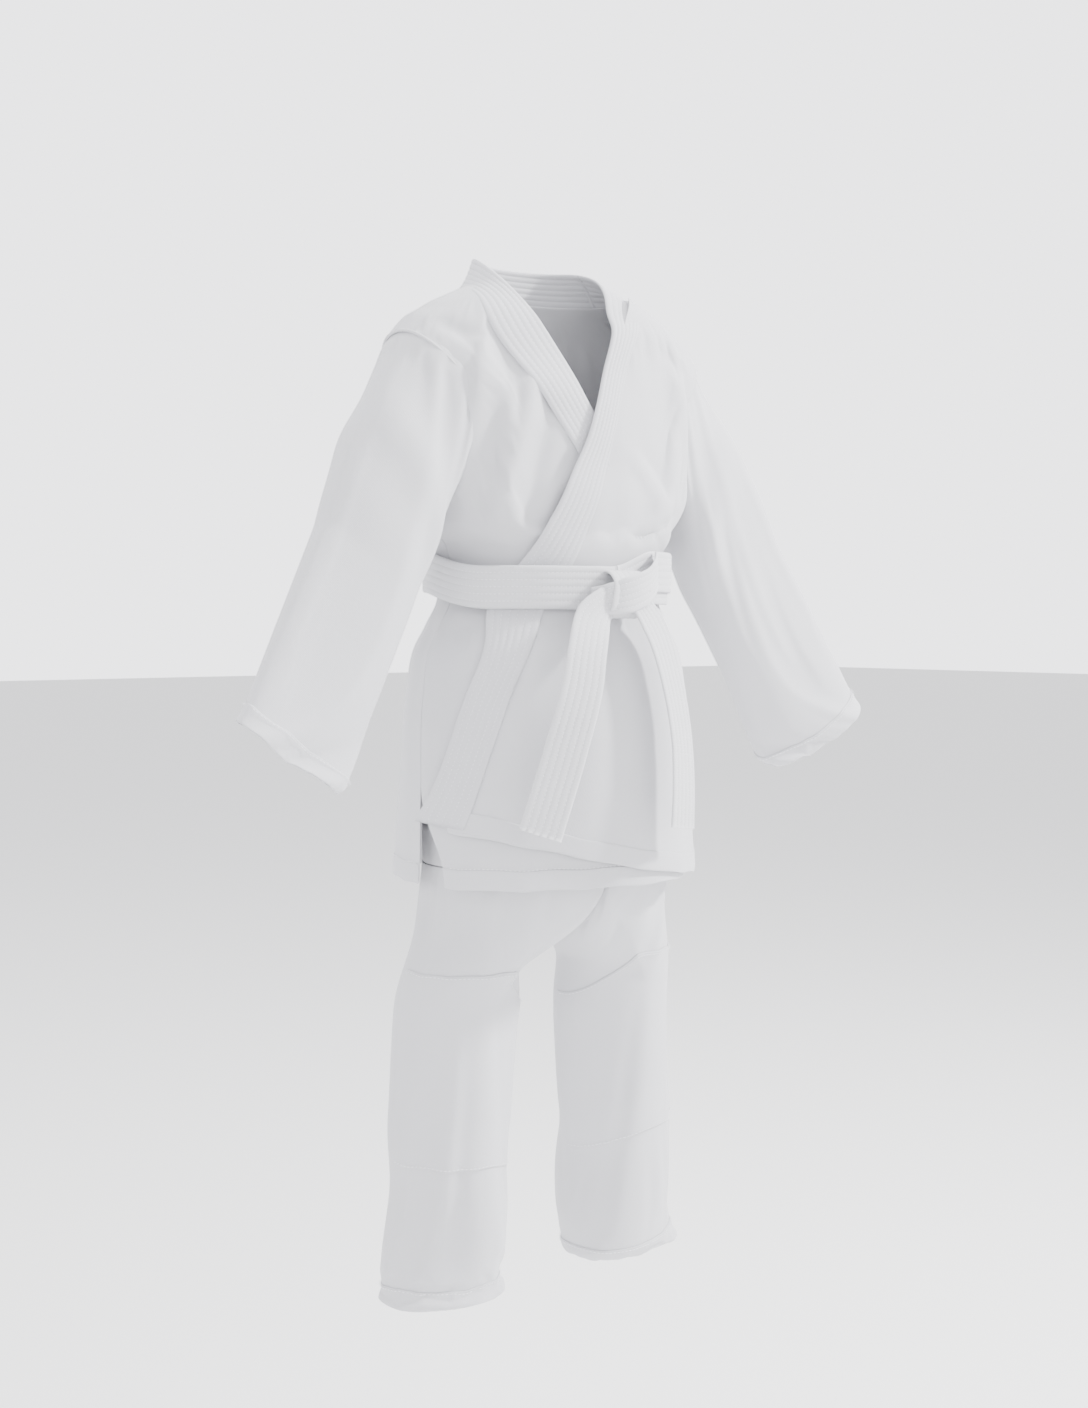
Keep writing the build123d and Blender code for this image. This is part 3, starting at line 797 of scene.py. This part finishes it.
# the collar's free edge and seam, from the left lapel round the back of the neck to the right one
COLLAR_EDGE = np.array([
    (38, -46, -22), (48, -32, -7), (57, -16, 8), (61, 0, 20), (57, 18, 28), (40, 40, 31), (-6, 50, 31),
    (-52, 42, 31), (-74, 18, 30), (-78, -4, 20), (-75, -24, 5), (-70, -40, -11),
]) * MM
COLLAR_SEAM = np.array([
    (72, -56, -31), (90, -42, -16), (104, -21, -9), (109, 3, -7), (88, 34, -6), (56, 50, -6), (0, 57, -6),
    (-56, 50, -6), (-87, 30, -6), (-99, 8, -8), (-105, -14, -12), (-108, -32, -22),
]) * MM
JOIN_LEFT, JOIN_RIGHT = 11, 9
ends = slice(JOIN_LEFT, JOIN_LEFT + 1), slice(JOIN_RIGHT, JOIN_RIGHT + 1)
free_line = resample(np.concatenate([over_free[ends[0]], COLLAR_EDGE, under_free[ends[1]]]), 110)
sewn_line = resample(np.concatenate([over_sewn[ends[0]], COLLAR_SEAM, under_sewn[ends[1]]]), 110)

all_free = np.concatenate([over_free[:JOIN_LEFT:-1], free_line, under_free[JOIN_RIGHT + 1:]])
all_sewn = np.concatenate([over_sewn[:JOIN_LEFT:-1], sewn_line, under_sewn[JOIN_RIGHT + 1:]])
ease(all_free, 8)
ease(all_sewn, 8)
middle = (all_free + all_sewn) / 2
all_out = band_outward(all_free, all_sewn, middle * np.array((1, 1, 0)) + np.array((0, 0, 0.01)))
split_left = len(over_free) - JOIN_LEFT + 34
split_right = len(all_free) - (len(under_free) - JOIN_RIGHT + 32)
STRETCHES = (
    ("lapel_band_left", slice(None, split_left)),
    ("collar_band", slice(split_left - 1, split_right)),
    ("lapel_band_right", slice(split_right - 1, None)),
)
lapel_left, collar, lapel_right = (
    band(name, all_free[run], all_sewn[run], all_out[run], BAND_CLOTH, BAND_THICK, LAPEL_ROWS, 0.0016)
    for name, run in STRETCHES
)

# ---------------------------------------------------------------- belt
BELT_WIDTH, BELT_THICK, BELT_HEIGHT = 0.040, 0.0034, -0.290
BELT_ROWS = 5
BELT_RADII, BELT_MIDDLE_Y = (0.1262, 0.1000), -0.003


def belt_ring(grow, drop, rise, count=181):
    """The belt's two edges and outward directions round the waist, dipping at the front."""
    angle = np.linspace(0, 2 * math.pi, count)
    x = (BELT_RADII[0] + grow) * np.sin(angle)
    y = BELT_MIDDLE_Y - (BELT_RADII[1] + grow) * np.cos(angle)
    dip = smoothstep(-y, -0.040, 0.055)
    level = BELT_HEIGHT + 0.012 - drop * dip * (1 - rise * smoothstep(x, -0.008, 0.052))
    slope = [x / BELT_RADII[0] ** 2, (y - BELT_MIDDLE_Y) / BELT_RADII[1] ** 2, 0 * x]
    outward = unit(np.stack(slope, axis=1))
    top = np.stack([x, y, level + BELT_WIDTH / 2], axis=1)
    low = np.stack([x, y, level - BELT_WIDTH / 2], axis=1)
    return top, low, outward


top, low, outward = belt_ring(0.0, 0.017, 0.3)
inner_wrap = band("belt_inner_turn", top, low, outward, BELT_CLOTH, BELT_THICK, BELT_ROWS, across=49,
                  stitches=False)
top, low, outward = belt_ring(0.0040, 0.016, 1.0)
outer_wrap = band("belt_outer_turn", top, low, outward, BELT_CLOTH, BELT_THICK, BELT_ROWS, across=49)


def tail_lines(route, width, lean, count=60):
    """A belt tail's two edges along a route, with its face leaning by an angle that changes."""
    middle = resample(np.array(route), count)
    along = unit(np.gradient(middle, axis=0))
    share = np.linspace(0, 1, count)
    turn = np.radians(np.interp(share, np.linspace(0, 1, len(lean)), lean))
    level = np.stack([np.cos(turn), np.sin(turn), 0 * turn], axis=1)
    across = unit(level - along * np.sum(level * along, axis=1, keepdims=True))
    outward = unit(np.cross(across, along))
    outward *= np.sign(-outward[:, 1:2])
    half = np.interp(share, (0, 0.12, 1), (width * 0.36, width / 2, width / 2))[:, None]
    return middle - across * half, middle + across * half, outward


RIGHT_TAIL = [(-0.022, -0.122, -0.304), (-0.042, -0.125, -0.322), (-0.057, -0.134, -0.350),
              (-0.067, -0.139, -0.384), (-0.088, -0.139, -0.447), (-0.115, -0.137, -0.520)]
LEFT_TAIL = [(0.010, -0.126, -0.306), (0.026, -0.132, -0.332), (0.038, -0.143, -0.385),
             (0.042, -0.152, -0.440), (0.038, -0.159, -0.485), (0.034, -0.162, -0.521)]
tails = {}
for name, route, lean in (("right", RIGHT_TAIL, (8, -16, -30, -34)), ("left", LEFT_TAIL, (10, 18, 20, 16))):
    left_edge, right_edge, outward = tail_lines(route, BELT_WIDTH, lean)
    tails[name] = band(f"belt_tail_strip_{name}", left_edge, right_edge, outward, BELT_CLOTH, BELT_THICK,
                       BELT_ROWS, across=49)


def strap(name, route, widths, level=(1.0, 0.0, 0.0)):
    """A short length of belt along a route, with its width given along it and its face kept level."""
    count = 70
    middle = resample(np.array(route), count)
    along = unit(np.gradient(middle, axis=0))
    share = np.linspace(0, 1, count)
    level = np.array(level)[None, :]
    across = unit(level - along * np.sum(level * along, axis=1, keepdims=True))
    outward = unit(np.cross(across, along))
    half = (np.interp(share, np.linspace(0, 1, len(widths)), widths) / 2)[:, None]
    sunk = middle - outward * BELT_THICK / 2
    return band(name, sunk - across * half, sunk + across * half, outward, BELT_CLOTH, BELT_THICK,
                BELT_ROWS, across=49)


front_y = BELT_MIDDLE_Y - BELT_RADII[1] - 0.0085
knot_cross = strap(
    "belt_knot_cross",
    [(0.056, front_y + 0.010, -0.274), (0.044, front_y - 0.004, -0.280), (0.028, front_y - 0.016, -0.289),
     (0.008, front_y - 0.023, -0.297), (-0.012, front_y - 0.021, -0.303), (-0.026, front_y - 0.012, -0.306),
     (-0.032, front_y + 0.002, -0.306)],
    (0.034, 0.032, 0.031, 0.033, 0.034, 0.030, 0.024), level=(0.0, 0.0, 1.0),
)
knot_loop = strap(
    "belt_knot_loop",
    [(0.004, front_y + 0.006, -0.279), (0.003, front_y - 0.008, -0.281), (0.002, front_y - 0.018, -0.290),
     (0.000, front_y - 0.019, -0.303), (-0.002, front_y - 0.016, -0.316), (-0.002, front_y - 0.004, -0.322),
     (0.000, front_y + 0.006, -0.318)],
    (0.040, 0.044, 0.046, 0.046, 0.044, 0.040),
)

# ---------------------------------------------------------------- hems, facings and inner pieces
HEM_DEEP = 0.019


def lay_hem(name, start, end, hem, lift, columns=90):
    """A turned-up hem: a second thickness along a panel's lower edge."""
    rows = 7
    across = np.linspace(0, 1, columns)[None, :].repeat(rows, 0)
    down = np.linspace(0, 1, rows)[:, None].repeat(columns, 1)
    height = np.full_like(across, JACKET_HEM)
    for _ in range(3):
        turn = start(height) + (end(height) - start(height)) * across
        height = hem(turn) + HEM_DEEP * (1 - down) - 0.0006
    points = BODY.at(turn, share_of(height), seam_lift(turn, lift - 0.0009) + 0.0009).reshape(-1, 3)
    uv = lengths_map(points, rows, columns)
    piece = make_object(name, points, grid_faces(rows, columns), JACKET_CLOTH, uv)
    thicken(piece, 0.0012)
    return piece


back_hem = lay_hem("back_hem_fold", constant(SEAM_LEFT), constant(0.75), flat_hem, BACK + 0.0009)
front_hem_right = lay_hem("front_hem_fold_right", lambda h: SEAM_RIGHT + vent_gap(h),
                          middle_of(UNDER_EDGE, UNDER_SEAM), flat_hem, UNDER + 0.0009)
front_hem_left = lay_hem("front_hem_fold_left", middle_of(OVER_EDGE, OVER_SEAM),
                         lambda h: SEAM_LEFT - vent_gap(h), over_hem, OVER + 0.0009)


def lay_patch(name, material, middle, reach, high, low, lift):
    """A patch inside the jacket, between two turns and two heights, cut out at the armhole."""
    rows, columns = 60, 40
    turn = (middle + np.linspace(reach[0], reach[1], columns))[None, :].repeat(rows, 0)
    height = np.linspace(high, low, rows)[:, None].repeat(columns, 1)
    points = BODY.at(turn, share_of(height), np.full_like(turn, lift)).reshape(-1, 3)
    keep = cut_armholes(points, PATCH_RIM)
    uv = lengths_map(points, rows, columns)
    piece = make_object(name, points, grid_faces(rows, columns), material, uv, keep)
    thicken(piece, 0.0008)
    return piece


linings, facings = {}, {}
for side, name in SIDES:
    linings[name] = lay_patch(f"shoulder_lining_cloth_{name}", LINING_CLOTH, side * 0.25, (-0.09, 0.09),
                              -0.012, -0.150, -0.0013)
    facings[name] = lay_patch(f"vent_facing_cloth_{name}", JACKET_CLOTH, side * 0.25,
                              sorted((side * 0.001, side * 0.022)), VENT_APEX, JACKET_HEM + HEM_DEEP,
                              BACK - 0.0014)
elastic = lay_tube("waist_elastic_web", HIP, ELASTIC_CLOTH, 0.012, 0.103, 0.0012, 12, 144, 0.0012)


def gusset_piece():
    """The crotch gusset, across the tops of both legs' insides."""
    rows, columns = 15, 36
    across = np.linspace(-1, 1, rows)[:, None].repeat(columns, 1)
    along = np.linspace(-0.13, 0.13, columns)[None, :].repeat(rows, 0)
    share = 0.055 * np.abs(across)
    left = LEGS["left"].at(-0.25 + along, share, np.full_like(along, 0.0010))
    right = LEGS["right"].at(0.25 - along, share, np.full_like(along, 0.0010))
    points = np.where(across[..., None] > 0, left, right)
    points[rows // 2] = (left[rows // 2] + right[rows // 2]) / 2 - np.array((0, 0, 0.001))
    points = points.reshape(-1, 3)
    piece = make_object("crotch_gusset_cloth", points, grid_faces(rows, columns), TROUSER_CLOTH,
                        lengths_map(points, rows, columns))
    thicken(piece, CLOTH)
    return piece


gusset = gusset_piece()

# ---------------------------------------------------------------- seams and their stitches


def ridge(name, line, radius, material):
    """A rounded seam allowance along a closed line."""
    ring = 8
    along = unit(np.roll(line, -1, axis=0) - np.roll(line, 1, axis=0))
    side = unit(np.cross(along, np.array((0.0, 0.0, 1.0)) + 0 * along))
    up = unit(np.cross(side, along))
    turn = np.arange(ring) / ring * 2 * math.pi
    tube = line[:, None] + radius * (
        np.cos(turn)[None, :, None] * side[:, None] + np.sin(turn)[None, :, None] * up[:, None]
    )
    faces = []
    for row in range(len(line)):
        this, following = row * ring, (row + 1) % len(line) * ring
        for k in range(ring):
            right = (k + 1) % ring
            faces.append((this + k, this + right, following + right, following + k))
    return make_object(name, tube.reshape(-1, 3), faces, material)


def sew(piece, name, form, runs):
    """Rows of stitches on a form: each run is a start and an end, as turn and share, and its lift."""
    lines, normals = [], []
    for start, end, lift in runs:
        share = np.linspace(0, 1, 140)
        turn = start[0] + (end[0] - start[0]) * share
        down = start[1] + (end[1] - start[1]) * share
        base = form.at(turn, down, np.zeros_like(turn))
        line = form.at(turn, down, np.full_like(turn, lift))
        lines.append(line)
        normals.append(unit(line - base))
    sewn = stitch_run(name, lines, normals)
    sewn.parent = piece
    return sewn


for side, name in SIDES:
    angle = np.linspace(0, 2 * math.pi, 96, endpoint=False)
    y = SHOULDER[1] + ARMHOLE[0] * np.sin(angle)
    z = SHOULDER[2] + ARMHOLE[1] * np.cos(angle)
    half_width, half_depth = torso_section(z)
    x = half_width * np.sqrt(np.clip(1 - (y / half_depth) ** 2, 0, 1)) + 0.0042
    seam = ridge(f"armhole_seam_{name}", np.stack([side * x, y, z], axis=1), 0.0016, JACKET_CLOTH)
    seam.parent = back_right if side < 0 else back_left

hem_share = share_of(JACKET_HEM + HEM_DEEP)
sew(back_hem, "back_hem_stitches", BODY, [((0.252, hem_share), (0.748, hem_share), BACK + 0.0026)])
sew(front_hem_right, "front_hem_right_stitches", BODY,
    [((-0.200, hem_share), (0.09, hem_share), UNDER + 0.0026)])
for side, name in SIDES:
    sew(cuffs[name], f"sleeve_hem_stitches_{name}", SLEEVE[name], [((0, 0.952), (1, 0.952), 0.0029)])
    sew(leg_hems[name], f"leg_hem_stitches_{name}", LEGS[name], [((0, 0.957), (1, 0.957), 0.0029)])
knee_stitches = {
    name: sew(None, f"knee_stitches_{name}", LEGS[name], [
        ((-0.275, 0.241), (0.275, 0.241), 0.0028), ((-0.275, 0.669), (0.275, 0.669), 0.0028),
    ])
    for side, name in SIDES
}

# ---------------------------------------------------------------- how the pieces ride
STANDS_FOR = [  # piece, body, slot, CAD nodes
    (back_hem, "jacket", "jacket_canvas", ("back_hem",)),
    (collar, "jacket", "quilted_band", ("collar_back", "collar_core")),
    (inner_wrap, "jacket", "belt_cotton", ("belt_inner_wrap",)),
    (outer_wrap, "jacket", "belt_cotton", ("belt_outer_wrap",)),
    (knot_loop, "jacket", "belt_cotton", ("belt_knot",)),
    (knot_cross, "jacket", "belt_cotton", ()),
    (gusset, "trousers", "trouser_canvas", ("crotch_gusset",)),
    (waistband, "trousers", "trouser_canvas", ("waistband",)),
    (elastic, "trousers", "elastic", ("waist_elastic",)),
]
for name, back, front, hem, lapel in (
    ("right", back_right, front_right, front_hem_right, lapel_right),
    ("left", back_left, front_left, front_hem_left, lapel_left),
):
    STANDS_FOR += [
        (back, "jacket", "jacket_canvas", (f"back_panel_{name}",)),
        (front, "jacket", "jacket_canvas", (f"front_panel_{name}",)),
        (hem, "jacket", "jacket_canvas", (f"front_hem_{name}",)),
        (linings[name], "jacket", "jacket_canvas", (f"shoulder_lining_{name}",)),
        (facings[name], "jacket", "jacket_canvas", (f"vent_facing_{name}",)),
        (lapel, "jacket", "quilted_band", (f"lapel_{name}",)),
        (cuffs[name], f"{name}_sleeve", "jacket_canvas", (f"cuff_hem_{name}",)),
        (hip_pieces[name], "trousers", "trouser_canvas", (f"hip_panel_{name}",)),
        (leg_hems[name], f"{name}_leg", "trouser_canvas", (f"leg_hem_{name}",)),
    ]
for piece, body, slot, nodes in STANDS_FOR:
    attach(piece, body)
    if nodes:
        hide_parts(*nodes)

SLEEVE_TURN = 0.100
LEG_TURN = (-0.626, -0.740)
TAIL_TURN = (-0.318, -0.372)
for side, name in SIDES:
    square = np.array((side * 0.964, 0, -0.265))
    pivot = np.array((side * SHOULDER[0], SHOULDER[1], SHOULDER[2]))
    tail = tails[name]
    tail_stitches = tail.children[0]
    tail_stitches.parent = None
    shoulder = (pivot + square * 0.004, pivot + square * SLEEVE_TURN)
    hip, knot = (((0, 0, start), (0, 0, end)) for start, end in (LEG_TURN, TAIL_TURN))
    sleeve_nodes = (f"sleeve_{name}", f"sleeve_head_{name}")
    blends = [  # piece, still body, kind of moving body, where it turns, slot, CAD nodes
        (sleeves[name], "jacket", "sleeve", shoulder, "jacket_canvas", sleeve_nodes),
        (leg_pieces[name], "trousers", "leg", hip, "trouser_canvas", (f"leg_{name}",)),
        (knees[name], "trousers", "leg", hip, "trouser_canvas", (f"knee_patch_{name}",)),
        (knee_stitches[name], "trousers", "leg", hip, "trouser_canvas", ()),
        (tail, "jacket", "belt_tail", knot, "belt_cotton", (f"belt_tail_{name}",)),
        (tail_stitches, "jacket", "belt_tail", knot, "belt_cotton", ()),
    ]
    for piece, fixed, moving, (start, end), slot, nodes in blends:
        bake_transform(piece)
        if nodes:
            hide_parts(*nodes)

# Each cloth's cut, before it is sewn and hung: width, length and, where it isn't a rectangle, area.
# All are estimates from girths and lengths, made with the built areas in view. The belt is 40 mm wide.
BACK_CUT = (0.235, 0.610, 0.114)
FRONT_RIGHT_CUT = (0.300, 0.610, 0.126)
FRONT_LEFT_CUT = (0.400, 0.610, 0.146)
SLEEVE_CUT = (0.400, 0.370, 0.128)
LINING_CUT = (0.100, 0.180, 0.0090)
SEAT_CUT = (0.375, 0.285, 0.097)
LEG_CUT = (0.480, 0.430, 0.162)
SLEEVE_HEM_CUT = (0.325, 0.020)
BACK_HEM_CUT = (0.467, 0.020)
FRONT_HEM_RIGHT_CUT = (0.300, 0.020)
FRONT_HEM_LEFT_CUT = (0.400, 0.020)
FACING_CUT = (0.020, 0.075)
LAPEL_LEFT_CUT, LAPEL_RIGHT_CUT, COLLAR_CUT = (0.045, 0.670), (0.045, 0.700), (0.045, 0.150)
INNER_WRAP_CUT, OUTER_WRAP_CUT = (0.040, 0.700), (0.040, 0.730)
KNOT_LOOP_CUT, KNOT_CROSS_CUT = (0.040, 0.095), (0.040, 0.120)
RIGHT_TAIL_CUT, LEFT_TAIL_CUT = (0.040, 0.240), (0.040, 0.215)
GUSSET_CUT = (0.150, 0.055, 0.0070)
WAISTBAND_CUT = (0.750, 0.035)  # cut to pass over the hips, then gathered by the elastic
ELASTIC_CUT = (0.480, 0.027)  # relaxed
LEG_HEM_CUT = (0.363, 0.020)
KNEE_CUT = (0.210, 0.180)

HUNG = "hung"
SHEETS = [  # piece, its cut, how it is held, what it hangs from or lies on
    (back_right, BACK_CUT, HUNG, [collar]), (back_left, BACK_CUT, HUNG, [collar]),
    (front_right, FRONT_RIGHT_CUT, HUNG, [lapel_right]), (front_left, FRONT_LEFT_CUT, HUNG, [lapel_left]),
    (back_hem, BACK_HEM_CUT, "folded", [back_right]),
    (front_hem_right, FRONT_HEM_RIGHT_CUT, "folded", [front_right]),
    (front_hem_left, FRONT_HEM_LEFT_CUT, "folded", [front_left]),
    (lapel_left, LAPEL_LEFT_CUT, "folded", [front_left]),
    (lapel_right, LAPEL_RIGHT_CUT, "folded", [front_right]), (collar, COLLAR_CUT, "folded", [back_right]),
    (inner_wrap, INNER_WRAP_CUT, "stretched", [front_left]),
    (outer_wrap, OUTER_WRAP_CUT, "stretched", [inner_wrap]),
    (knot_loop, KNOT_LOOP_CUT, "folded", [outer_wrap]), (knot_cross, KNOT_CROSS_CUT, "folded", [knot_loop]),
    (tails["right"], RIGHT_TAIL_CUT, HUNG, [knot_cross]), (tails["left"], LEFT_TAIL_CUT, HUNG, [knot_cross]),
    (gusset, GUSSET_CUT, HUNG, [hip_pieces["right"]]), (waistband, WAISTBAND_CUT, "gathered", [elastic]),
    (elastic, ELASTIC_CUT, "stretched", []),
]
for back, name in ((back_right, "right"), (back_left, "left")):
    SHEETS += [
        (sleeves[name], SLEEVE_CUT, HUNG, [back]), (cuffs[name], SLEEVE_HEM_CUT, "folded", [sleeves[name]]),
        (linings[name], LINING_CUT, HUNG, [back]), (facings[name], FACING_CUT, "folded", [back]),
        (hip_pieces[name], SEAT_CUT, HUNG, [waistband]),
        (leg_pieces[name], LEG_CUT, HUNG, [hip_pieces[name]]),
        (leg_hems[name], LEG_HEM_CUT, "folded", [leg_pieces[name]]),
        (knees[name], KNEE_CUT, "laid", [leg_pieces[name]]),
    ]

# ---------------------------------------------------------------- light, floor and camera


FLOOR_LOOK = {"Base Color": (0.93, 0.93, 0.93, 1), "Roughness": 0.9}


def studio():
    """A wide pale floor below the uniform, under a bright even sky and soft lamps."""
    floor_mesh = bpy.data.meshes.new("floor")
    wide, low = 30.0, -1.42
    corners = [(-wide, -wide, low), (wide, -wide, low), (wide, wide, low), (-wide, wide, low)]
    floor_mesh.from_pydata(corners, [], [(0, 1, 2, 3)])
    floor = bpy.data.objects.new("floor", floor_mesh)
    bpy.context.collection.objects.link(floor)
    floor.data.materials.append(new_material("pale_floor", FLOOR_LOOK)[0])

    world = bpy.data.worlds.new("studio")
    bpy.context.scene.world = world
    world.use_nodes = True
    nodes, links = world.node_tree.nodes, world.node_tree.links
    sky = nodes["Background"]
    sky.inputs["Color"].default_value = (0.97, 0.97, 1.0, 1)
    way = add_node(nodes, "TexCoord")
    split = add_node(nodes, "SeparateXYZ")
    links.new(way.outputs["Generated"], split.inputs[0])
    tilt = add_node(nodes, "Math", operation="ABSOLUTE")
    links.new(split.outputs["Z"], tilt.inputs[0])
    glow = add_node(nodes, "MapRange", {"From Min": 0.42, "From Max": 0.62, "To Min": 3.4, "To Max": 1.0})
    links.new(tilt.outputs[0], glow.inputs["Value"])
    links.new(glow.outputs["Result"], sky.inputs["Strength"])

    for name, place, size, power in (
        ("key", (2.2, -1.5, 1.5), 0.35, 260),
        ("top", (0.0, 0.0, 3.4), 3.6, 240),
    ):
        lamp = bpy.data.lights.new(name, "AREA")
        lamp.shape = "DISK"
        lamp.size = size
        lamp.energy = power
        holder = bpy.data.objects.new(name, lamp)
        bpy.context.collection.objects.link(holder)
        holder.location = place
        aim = Vector((0, 0, -0.45)) - Vector(place)
        holder.rotation_euler = aim.to_track_quat("-Z", "Y").to_euler()


def camera():
    """A level camera in front of the wearer's right, at the height of the thighs."""
    eye = bpy.data.cameras.new("camera")
    eye.lens = 46.0
    eye.sensor_width = 36.0
    eye.shift_x = -0.002
    eye.shift_y = -0.0597
    holder = bpy.data.objects.new("camera", eye)
    bpy.context.collection.objects.link(holder)
    turn = math.radians(-38)
    away = 1.80
    holder.location = (away * math.sin(turn), -away * math.cos(turn), -0.325)
    holder.rotation_euler = (math.radians(90), 0, turn)
    bpy.context.scene.camera = holder


studio()
camera()
